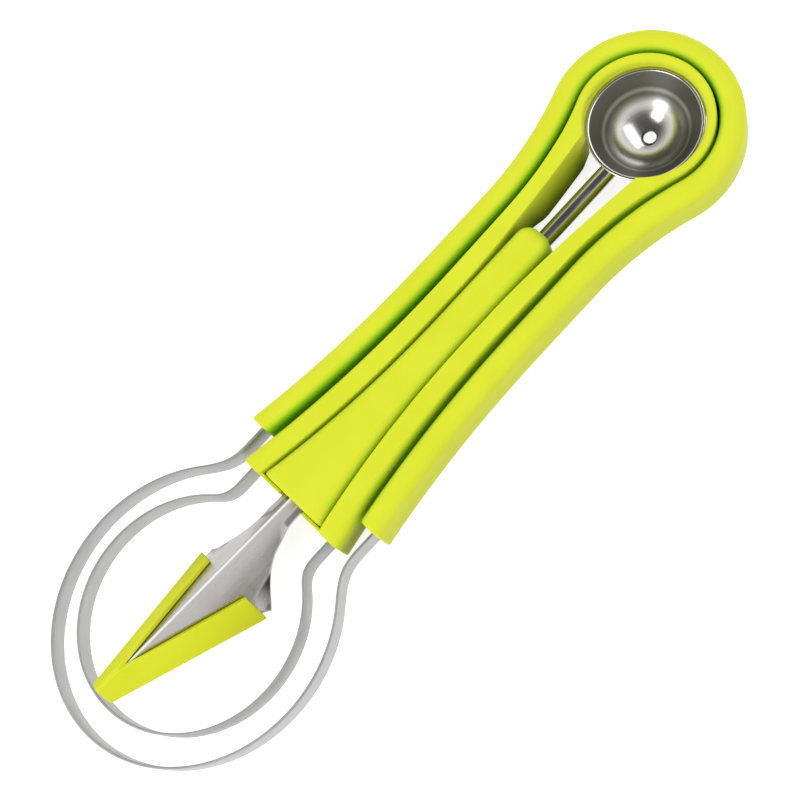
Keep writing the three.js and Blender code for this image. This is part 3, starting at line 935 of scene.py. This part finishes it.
@dataclass
class MiddleTool:
    """Middle handle with its keyhole for core and bowl, its end wall and its smaller loop."""

    pocket: float = 16.0
    pocket_round: float = 1.9
    pocket_shares: Pair = (0.68, 0.30)
    mouth_half: float = 9.5
    mouth_start: float = -62.7
    mouth_power: float = 1.6
    wall_thickness: float = 1.0
    wall_top: float = 13.6
    wall_root: float = 1.0
    wall_inset: float = 0.05
    wall_round: float = 0.3
    notch_half: float = 4.2
    notch_floor: float = 9.36
    ledge_end: float = -52.7
    # Share of the full painted shade in the grooves on this handle.
    groove_shade_strength: float = 0.35
    # Depth and rise of the painted shade on the rod's slot wall.
    slot_depth: float = 10.0
    slot_power: float = 0.55
    slot_start: float = -50.0
    slot_end: float = -12.0
    draft: float = 1.3
    draft_start: float = -39.0
    form: SectionForm = SectionForm(
        bottom=MIDDLE_BOTTOM, top=15.6, inner_lower=1.2, outer_lower=1.2, outer_upper=3.3, inner_upper=0.8,
    )
    loop: BandLoop = field(default_factory=lambda: BandLoop(
        "small_loop", "middle_loop", length_radius=32.5, width_radius=29.8, leave=25.4,
        neck_half=14.9, neck=33.0, tang_x=-124.4, mid_height=9.2,
    ))

    def keyhole_half(self) -> np.ndarray:
        """Upper half of the keyhole: the wall beside core and rod, then the bowl's round pocket.

        The wall's half-width is the core's, plus a widening (mouth - waist) * run ** power to the pocket.

        Returns:
            Plan points, one row each.
        """
        mouth_x = -math.sqrt(self.pocket**2 - self.mouth_half**2)
        x = leg_stations(OUTER_NEST.end_x, mouth_x)
        run = np.clip((x - self.mouth_start) / (mouth_x - self.mouth_start), 0.0, None)
        gap = NEST_GAP / 2
        wall = CORE_NEST.half(x) + gap
        wall = wall + (self.mouth_half - CORE_NEST.waist_half - gap) * run**self.mouth_power
        mouth = math.pi - math.asin(self.mouth_half / self.pocket)
        turn = np.linspace(mouth, 0.0, NECK_STEPS + BULB_STEPS + 1)[1:]
        return np.concatenate((np.stack((x, wall), axis=-1), arc((0.0, 0.0), self.pocket, turn)))

    def pocket_form(self, inner: np.ndarray) -> SectionForm:
        """The section's form with a rounder inner edge round the bowl's pocket.

        Args:
            inner: inner plan points.

        Returns:
            The form, with columns of radii and shares.
        """
        near = smooth((inner[:, :1] - self.slot_end) / CAVITY_FADE)
        form, (inner_share, outer_share) = self.form, self.pocket_shares
        return replace(
            form,
            inner_upper=form.inner_upper + (self.pocket_round - form.inner_upper) * near,
            inner_share=form.inner_share + (inner_share - form.inner_share) * near,
            outer_share=form.outer_share + (outer_share - form.outer_share) * near,
        )

    def slot_zone(self, x: np.ndarray, start: float) -> np.ndarray:
        """Share of the rod's slot at stations: 1 from a start to the slot's end, fading at both."""
        return smooth((x - start) / CAVITY_FADE) * smooth((self.slot_end - x) / CAVITY_FADE)

    def drafted(self, rings: np.ndarray) -> np.ndarray:
        """Rings whose slot wall leans in past the core's tip.

        Y moves to the middle by draft * depth / height.

        Args:
            rings: the handle's points.

        Returns:
            The moved points.
        """
        share = (self.form.top - rings[..., 2]) / (self.form.top - self.form.bottom)
        zone = self.slot_zone(rings[..., 0], self.draft_start)
        moved = rings.copy()
        moved[..., 1] -= np.sign(rings[..., 1]) * self.draft * share * zone * inner_side(rings, self.form)
        return moved

    def groove_shade_share(self, rings: np.ndarray) -> np.ndarray:
        """Share of painted shade at each point, in the grooves beside the other handles, from 0 on top to
        this handle's share.

        Args:
            rings: the handle's points.

        Returns:
            One number for each point.
        """
        x = rings[..., 0]
        groove_shade = self.groove_shade_strength * self.form.groove_shade_share(rings) * smooth((x - OUTER_SIDE.end_x) / CAVITY_FADE)
        beside_core = smooth((self.slot_start - x) / CAVITY_FADE)
        return groove_shade * np.where(inner_side(rings, self.form), beside_core, 1.0)

    def slot_wall_shade(self, rings: np.ndarray) -> np.ndarray:
        """Share of painted shade on the rod's slot wall, from 0 on top to 1 near the wall's foot.

        Args:
            rings: the handle's points.

        Returns:
            One number for each point.
        """
        depth = np.clip((self.form.top - rings[..., 2]) / self.slot_depth, 0.0, 1.0)
        zone = self.slot_zone(rings[..., 0], self.slot_start)
        return zone * depth**self.slot_power * inner_side(rings, self.form)

    def end_wall(self) -> bpy.types.Object:
        """Notched wall across the open end: its outline in Y and Z, carried through its thickness.

        Returns:
            The wall.
        """
        half = CORE_NEST.half(np.array(OUTER_NEST.end_x)) + NEST_GAP / 2 + self.wall_root
        right = np.array((
            (half, MIDDLE_BOTTOM), (half, self.wall_top),
            (self.notch_half, self.wall_top), (self.notch_half, self.notch_floor),
        ))
        outline = np.concatenate((right, (right * (-1.0, 1.0))[::-1]))
        faces_x = (OUTER_NEST.end_x + self.wall_inset, OUTER_NEST.end_x + self.wall_thickness)
        rings = [np.concatenate((np.full((len(outline), 1), x), outline), axis=1) for x in faces_x]
        wall = loft("middle_end_wall", np.stack(rings))
        bevel(wall, self.wall_round, segments=3)
        return wall

    def build(self, plastic: bpy.types.Material, steel: bpy.types.Material) -> None:
        """Make and dress the handle, its end wall, its ledges and its loop.

        Args:
            plastic: the handle's material.
            steel: the loop's material.
        """
        inner = self.keyhole_half()
        outer = horseshoe_half(OUTER_NEST, NEST_BULB, NEST_NECK, OUTER_NEST.end_x, 0.0)
        rings = self.drafted(horseshoe(inner, outer, self.pocket_form(inner)))
        handle = loft("middle_grip", rings)
        # Painted shade in the grooves and on the rod's slot wall.
        store(handle, Mark.PAINTED_GROOVE_SHADE, self.groove_shade_share(rings))
        store(handle, Mark.SLOT_WALL_SHADE, self.slot_wall_shade(rings))
        dress(handle, Body.MIDDLE, Slot.LIME, plastic, "middle_handle")
        dress(self.end_wall(), Body.MIDDLE, Slot.LIME, plastic)
        foot = inner[END_STEPS:]
        foot = foot[foot[:, 0] < self.ledge_end]
        ledge = seat_ledge("middle_seat_ledge", foot, MIDDLE_BOTTOM, NEST_GAP + LEDGE_REACH)
        dress(ledge, Body.MIDDLE, Slot.LIME, plastic)
        dress(self.loop.build(), Body.MIDDLE, Slot.SATIN, steel, self.loop.node)


@dataclass
class CoreHandle:
    """Tapered core handle with a rounded tip."""

    tip_x: float = -39.5
    tip_round: float = 4.2
    tip_points: int = 20
    # Share of the full painted shade in the grooves, on the core.
    groove_shade_strength: float = 0.5
    form: SectionForm = SectionForm(
        bottom=CORE_BOTTOM, top=16.4, inner_lower=1.2, outer_lower=1.2, outer_upper=3.4, inner_upper=3.4,
        fillet_points=12,
    )

    def build(self, plastic: bpy.types.Material) -> None:
        """Make the handle as sections across X, drawn in at its tip and at its open end.

        Args:
            plastic: the handle's material.
        """
        body = leg_stations(CORE_NEST.end_x, self.tip_x - self.tip_round)
        turn = np.linspace(0.0, 0.5 * np.pi, self.tip_points)[1:]
        x = np.concatenate((body, self.tip_x - self.tip_round * (1.0 - np.sin(turn))))
        half = CORE_NEST.half(x) - NEST_GAP / 2
        inset = round_over(x - CORE_NEST.end_x, END_ROUND) + round_over(self.tip_x - x, self.tip_round)
        rings = section_rings(np.stack((x, -half), -1), np.stack((x, half), -1), self.form, inset)
        grip = loft("core_grip", rings)
        # Painted shade down the core's sides, fading out at its open end.
        past_end = smooth((x - CORE_NEST.end_x) / CAVITY_FADE)[:, None]
        store(grip, Mark.PAINTED_GROOVE_SHADE, self.groove_shade_strength * self.form.groove_shade_share(rings) * past_end)
        dress(grip, Body.CORE, Slot.LIME, plastic, "core_handle")


@dataclass
class MelonBaller:
    """Steel rod and spun bowl with a drain hole, its rim a little higher away from the rod."""

    rim_radius: float = 15.7
    rim_height: float = 11.8
    rim_flat: float = 0.5
    floor_radius: float = 14.4
    steepness: float = math.radians(49.5)
    wall: float = 0.8
    tilt: float = math.radians(2.5)
    hole_radius: float = 1.75
    rod_radius: float = 2.4
    rod_height: float = 7.8
    rod_start: float = -57.5
    bar_end: float = 0.95
    bar_points: int = 12
    weld_swell: float = 0.3
    weld_start: float = 0.96
    weld_depth: float = 0.3
    weld_points: int = 8
    around: int = 160
    outside_points: int = 28
    inside_points: int = 36
    rim_points: int = 9
    rod_sides: int = 64

    @property
    def over(self) -> float:
        """Height of the floor's centre over the rim's plane."""
        cone = (self.rim_radius - self.floor_radius * math.sin(self.steepness)) * math.tan(self.steepness)
        return self.floor_radius * math.cos(self.steepness) - cone

    def wall_line(self, radius: float, count: int) -> np.ndarray:
        """Half section of one wall about the floor's centre.

        A round floor leads from the hole out, and a straight cone, tangent to it, leads up to the rim.

        Args:
            radius: the floor's radius.
            count: how many points each of the two runs has.

        Returns:
            Distances from the axis and heights, from the hole up to the rim.
        """
        low = math.asin(self.hole_radius / radius) - 0.5 * math.pi
        floor = arc((0.0, 0.0), radius, np.linspace(low, self.steepness - 0.5 * math.pi, count))
        rise = -self.over - floor[-1, 1]
        top = floor[-1] + (rise / math.tan(self.steepness), rise)
        return np.concatenate((floor, np.linspace(floor[-1], top, count)[1:]))

    def bowl(self) -> bpy.types.Object:
        """Turn the wall's closed section about its axis, then tilt it about the rim's middle.

        Returns:
            The bowl.
        """
        outside = self.wall_line(self.floor_radius, self.outside_points)
        inside = self.wall_line(self.floor_radius - self.wall, self.inside_points)[::-1]
        middle = 0.5 * (outside[-1] + inside[0])
        turn = np.linspace(0.0, math.pi, self.rim_points)[1:-1]
        rim = middle + arc((0.0, 0.0), outside[-1, 0] - middle[0], turn) * (1.0, self.rim_flat)
        section = np.concatenate((outside, rim, inside))
        spin = np.linspace(0.0, 2.0 * math.pi, self.around, endpoint=False)[:, None]
        x, y, z = np.broadcast_arrays(
            section[:, 0] * np.cos(spin), section[:, 0] * np.sin(spin), section[:, 1] + self.over)
        turned_x = x * math.cos(self.tilt) - z * math.sin(self.tilt)
        turned_z = x * math.sin(self.tilt) + z * math.cos(self.tilt) + self.rim_height
        return ring_of_rings("spun_bowl", np.stack((turned_x, y, turned_z), axis=-1))

    def rod(self) -> bpy.types.Object:
        """Round bar whose end follows the bowl's cone and swells into a small weld there.

        Returns:
            The bar.
        """
        spin = np.linspace(0.0, 2.0 * math.pi, self.rod_sides, endpoint=False)
        bar = np.linspace(0.0, self.bar_end, self.bar_points)
        run = np.concatenate((bar, np.linspace(self.weld_start, 1.0, self.weld_points)))[:, None]
        weld = np.clip((run - self.weld_start) / (1.0 - self.weld_start), 0.0, 1.0)
        swell = self.rod_radius + self.weld_swell * weld**2
        y = swell * np.cos(spin)
        z = self.rod_height + swell * np.sin(spin)
        rim_z = self.rim_height - self.rim_radius * math.sin(self.tilt)
        touch = self.rim_radius - self.weld_depth - (rim_z - z) / math.tan(self.steepness)
        end = -np.sqrt(touch**2 - y**2)
        x = self.rod_start + (end - self.rod_start) * run
        return loft("baller_bar", np.stack((x, y, z), axis=-1))

    def build(self, bowl_steel: bpy.types.Material, rod_steel: bpy.types.Material) -> None:
        """Make and dress the bowl and the rod."""
        dress(self.bowl(), Body.CORE, Slot.POLISHED, bowl_steel, "baller_bowl")
        dress(self.rod(), Body.CORE, Slot.POLISHED, rod_steel, "baller_rod")


@dataclass
class CarvingBlade:
    """Steel sheet folded along a ridge that climbs towards the tip, with hooked shoulders.

    The flanks bend at two creases: up beside the neck, and down across each shoulder's barb.
    """

    thickness: float = 0.6
    pitch: float = math.radians(5.5)
    ridge_height: float = 15.2
    ridge_half: float = 0.42
    slope: float = 1.4
    reach: float = 66.8
    tip_half: float = 0.02
    barb: Pair = (-24.0, 11.9)
    barb_pull: Pair = (-19.0, 7.2)
    taper: Pair = (-13.0, 5.1)
    taper_pull: Pair = (-8.0, 3.7)
    neck: Pair = (-3.0, 3.5)
    tang: float = 13.0
    fold_radius: float = 0.3
    fold_lift: float = 0.13
    grind: float = 0.12
    grind_start: float = 0.9
    point: float = 1.6
    crease_soft: float = 0.3
    neck_crease: tuple[Pair, ...] = ((-20.0, 10.6), (-5.5, 2.1), (0.0, 1.9), (13.0, 1.9))
    neck_lift: float = 0.9
    barb_crease: Pair = (-19.9, 7.3)
    barb_heading: Pair = (0.177, 0.984)
    barb_lift: float = -0.4
    barb_fade: Pair = (-26.2, -24.4)
    # How the ears' painted dark reflection fades across and along each ear.
    ear_fade: float = 0.4
    ear_length: float = 6.0
    tang_points: int = 20
    curve_points: int = 24
    edge_points: int = 60
    across_points: int = 121
    across_power: float = 1.5

    def place(self, points: np.ndarray) -> np.ndarray:
        """Points of the blade's own frame, turned by its pitch and set at the core's end.

        Args:
            points: distances along the ridge, to the side and up.

        Returns:
            The points from the bulb's centre.
        """
        x, z = points[..., 0], points[..., 2]
        turned_x = x * math.cos(self.pitch) + z * math.sin(self.pitch) + CORE_NEST.end_x
        turned_z = -x * math.sin(self.pitch) + z * math.cos(self.pitch) + self.ridge_height
        return np.stack((turned_x, points[..., 1], turned_z), axis=-1)

    def outline(self) -> np.ndarray:
        """Half outline from tang to tip: straight runs and two quadratic curves into the hook.

        Returns:
            Plan points, one row each.
        """
        first = quadratic((self.neck, self.taper_pull, self.taper), self.curve_points)
        second = quadratic((self.taper, self.barb_pull, self.barb), self.curve_points)
        edge = np.linspace(self.barb, (-self.reach, self.tip_half), self.edge_points)[1:]
        tang = np.linspace((self.tang, self.neck[1]), self.neck, self.tang_points)[:-1]
        return np.concatenate((tang, first, second[1:], edge))

    def past_crease(self, x: np.ndarray, side: np.ndarray) -> np.ndarray:
        """Distance of points past the crease across a barb."""
        start_x, start_y = self.barb_crease
        return (x - start_x) * self.barb_heading[0] + (side - start_y) * self.barb_heading[1]

    def barb_run(self, x: np.ndarray) -> np.ndarray:
        """Share of the barb's bend at distances along the ridge: none where the guard's channels start."""
        return smooth((x - self.barb_fade[0]) / (self.barb_fade[1] - self.barb_fade[0]))

    def fall(self, x: np.ndarray, y: np.ndarray) -> np.ndarray:
        """Depth of the sheet's mid-surface under the ridge.

        The fold is slope * (sqrt(y^2 + r^2) - lift), less a hinge past each crease.

        Args:
            x: distances along the ridge.
            y: distances to the side.

        Returns:
            The depths, in millimetres.
        """
        side = np.abs(y)
        fold = self.slope * (np.sqrt(y**2 + self.fold_radius**2) - self.fold_lift)
        crease_x, crease_y = np.array(self.neck_crease).T
        curl = self.neck_lift * hinge(side - np.interp(x, crease_x, crease_y), self.crease_soft)
        bend = self.barb_lift * hinge(self.past_crease(x, side), self.crease_soft) * self.barb_run(x)
        return fold - curl - bend

    def sections(self) -> np.ndarray:
        """Thin folded sections, each a strip of the mid-surface moved up and down by half a sheet.

        The sheet is ground thin along its cutting edges and at its point.

        Returns:
            Rings in the blade's own frame.
        """
        plan = self.outline()[::-1]
        along = plan[:, :1]
        share = np.linspace(-1.0, 1.0, self.across_points)
        share = np.sign(share) * np.abs(share) ** self.across_power
        y = plan[:, 1:] * share
        x = np.broadcast_to(along, y.shape)
        fall = self.fall(x, y)
        outer_part = np.clip((np.abs(share) - self.grind_start) / (1.0 - self.grind_start), 0.0, 1.0)
        ground = np.maximum(
            (along < self.barb[0]) * outer_part, 1.0 - np.clip((along + self.reach) / self.point, 0.0, 1.0))
        rise = 0.5 * self.thickness * math.hypot(1.0, self.slope) * (1.0 - (1.0 - self.grind) * ground)
        upper = np.stack((x, y, rise - fall), axis=-1)
        lower = np.stack((x, y, -rise - fall), axis=-1)
        return np.concatenate((lower, upper[:, ::-1]), axis=1)

    def build(self, steel: bpy.types.Material) -> None:
        """Loft the sections, mark the ridge's painted highlight and the ears' painted dark reflection, and
        dress the blade.

        The ridge's mark is full out to half of its half-width, and gone at the half-width.

        Args:
            steel: the blade's material.
        """
        rings = self.sections()
        folded = loft("folded_blade", self.place(rings))
        along, side = rings[..., 0], np.abs(rings[..., 1])
        # Painted highlight along the ridge, and painted dark reflection on the ears.
        store(folded, Mark.RIDGE_HIGHLIGHT, smooth(2.0 - 2.0 * side / self.ridge_half))
        ear = smooth(self.past_crease(along, side) / self.ear_fade) * self.barb_run(along)
        fade = np.clip(1.0 - (self.barb_crease[0] - along) / self.ear_length, 0.0, 1.0)
        store(folded, Mark.EAR_DARK_REFLECTION, ear * fade * (along < self.taper[0]))
        dress(folded, Body.CORE, Slot.SATIN, steel, "carving_blade")


@dataclass
class BladeGuard:
    """Guard of two channels over the cutting edges, with softened edges."""

    edge_round: float = 0.5
    merge: float = 0.005
    flat_angle: float = math.radians(1.0)

    def build(self, plastic: bpy.types.Material) -> None:
        """Copy the solid's flat faces, merge them and round their edges.

        Args:
            plastic: the guard's material.
        """
        work = bmesh.new()
        work.from_mesh(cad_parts["blade_guard"].data)
        bmesh.ops.remove_doubles(work, verts=work.verts, dist=self.merge * MM)
        bmesh.ops.dissolve_limit(work, angle_limit=self.flat_angle, verts=work.verts, edges=work.edges)
        mesh = bpy.data.meshes.new("channel_guard")
        work.to_mesh(mesh)
        work.free()
        guard = linked("channel_guard", mesh)
        bevel(guard, self.edge_round, segments=4)
        dress(guard, Body.GUARD, Slot.GUARD, plastic, "blade_guard")


# Studio


@dataclass(frozen=True)
class SoftBox:
    """Rectangular lamp that looks at the origin, its width level. Places and sizes are metres."""

    name: str
    place: Triple
    width: float
    height: float
    watts: float

    def build(self) -> None:
        """Add the lamp."""
        lamp = bpy.data.lights.new(self.name, "AREA")
        lamp.shape = "RECTANGLE"
        lamp.size = self.width
        lamp.size_y = self.height
        lamp.energy = self.watts
        holder = linked(self.name, lamp)
        holder.location = self.place
        holder.rotation_euler = Vector(self.place).to_track_quat("Z", "Y").to_euler()


@dataclass(frozen=True)
class PhotoCamera:
    """Camera at the photograph's viewing angle, fitted to points of the object's outline."""

    eye: Triple = (-10.18, -154.23, 436.35)
    aim: Triple = (-1.57, -0.89, 8.0)
    roll: float = math.radians(-47.52)
    focal_pixels: float = 1739.4
    picture: float = 800.0
    sensor: float = 36.0
    clip_start: float = 0.01

    def build(self) -> None:
        """Add the camera, level with the part's Y axis and then rolled about its own view."""
        data = bpy.data.cameras.new("photo_camera")
        data.sensor_width = self.sensor
        data.lens = self.focal_pixels / self.picture * self.sensor
        data.clip_start = self.clip_start
        forward = (Vector(self.aim) - Vector(self.eye)).normalized()
        level = forward.cross(Vector((0.0, 1.0, 0.0))).normalized()
        right = math.cos(self.roll) * level + math.sin(self.roll) * level.cross(forward)
        axes = Matrix((right, right.cross(forward), -forward)).transposed().to_4x4()
        camera = linked("photo_camera", data)
        camera.matrix_world = Matrix.Translation(Vector(self.eye) * MM) @ axes
        bpy.context.scene.camera = camera


@dataclass
class Studio:
    """White floor, three soft boxes and a room that is dark overhead and pale towards its walls."""

    floor_half: float = 8.0
    floor_white: float = 0.5
    floor_rough: float = 0.9
    floor_lift: float = 0.8
    wall_grey: float = 1.15
    ceiling_grey: float = 0.09
    wall_top: Pair = (0.5, 0.9)
    lamps: tuple[SoftBox, ...] = (
        SoftBox("left_low_box", place=(-0.92, -0.05, 0.48), width=0.55, height=0.42, watts=2.2),
        SoftBox("left_high_box", place=(-0.58, 0.03, 0.84), width=0.42, height=0.36, watts=2.0),
        SoftBox("right_box", place=(0.58, -0.12, 0.82), width=0.95, height=0.34, watts=2.9),
    )

    def floor(self) -> None:
        """Add a plane that is a white surface, lifted towards white where it is looked at."""
        corners = np.array(((-1, -1, 0), (1, -1, 0), (1, 1, 0), (-1, 1, 0))) * self.floor_half / MM
        plane = mesh_object("floor", corners, [[0, 1, 2, 3]])
        graph = Graph(bpy.data.materials.new("pale_floor"))
        path = graph.node("ShaderNodeLightPath", {}, {}).outputs
        seen = Value(graph, path["Is Camera Ray"])
        for name in ("Is Glossy Ray", "Is Transmission Ray"):
            seen = seen.larger(Value(graph, path[name]))
        graph.finish({
            "Base Color": (self.floor_white,) * 3 + (1.0,),
            "Roughness": self.floor_rough,
            "Emission Color": WHITE,
            "Emission Strength": self.floor_lift * seen,
        })
        plane.data.materials.append(graph.owner)

    def world(self) -> None:
        """Grey by the height of a direction: the walls' up to their top, then over to the ceiling's."""
        bpy.context.scene.world = bpy.data.worlds.new("studio")
        graph = Graph(bpy.context.scene.world, "Background")
        direction = graph.node("ShaderNodeTexCoord", {}, {}).outputs["Generated"]
        height = graph.value("ShaderNodeSeparateXYZ", {}, {0: direction}, "Z")
        change = self.ceiling_grey - self.wall_grey
        graph.finish({"Color": WHITE, "Strength": self.wall_grey + change * height.between(*self.wall_top)})

    def build(self) -> None:
        """Add everything, and view colours as they are written."""
        self.floor()
        self.world()
        for lamp in self.lamps:
            lamp.build()
        PhotoCamera().build()
        bpy.context.scene.view_settings.view_transform = "Standard"


def main() -> None:
    """Build the studio, the finishes and every sub-assembly, in order."""
    logging.basicConfig(level=logging.INFO, format="%(name)s: %(message)s")
    Studio().build()
    baller = MelonBaller()
    lime = MouldedPlastic("lime_plastic", shade=(0.70, 0.765, 0.030), glow=(0.735, 0.79, 0.038)).material()
    guard = MouldedPlastic(
        "guard_plastic", shade=(0.71, 0.76, 0.022), glow=(0.75, 0.79, 0.030), roughness=0.6).material()
    band = GrainedSteel(
        "band_steel", bright=(0.52, 0.52, 0.52), dull=(0.46, 0.46, 0.46), roughness=0.5,
        line_stretch=(40.0, 40.0, 4000.0)).material()
    blade = GrainedSteel(
        "blade_steel", bright=(0.475, 0.455, 0.445), dull=(0.455, 0.435, 0.425), roughness=0.26,
        line_stretch=(20.0, 900.0, 900.0)).material()
    rod = GrainedSteel(
        "rod_steel", bright=(0.66, 0.65, 0.63), dull=(0.60, 0.59, 0.57), roughness=0.12,
        line_stretch=(30.0, 2200.0, 2200.0)).material()
    bowl = TurnedSteel(
        "bowl_steel", bright=(0.66, 0.65, 0.62), dull=(0.60, 0.59, 0.56), axis=(BULB_X * MM, 0.0),
        rim=baller.rim_radius * MM).material()
    OuterTool().build(lime, band)
    MiddleTool().build(lime, band)
    CoreHandle().build(lime)
    baller.build(bowl, rod)
    CarvingBlade().build(blade)
    BladeGuard().build(guard)


if __name__ == "__main__":
    main()
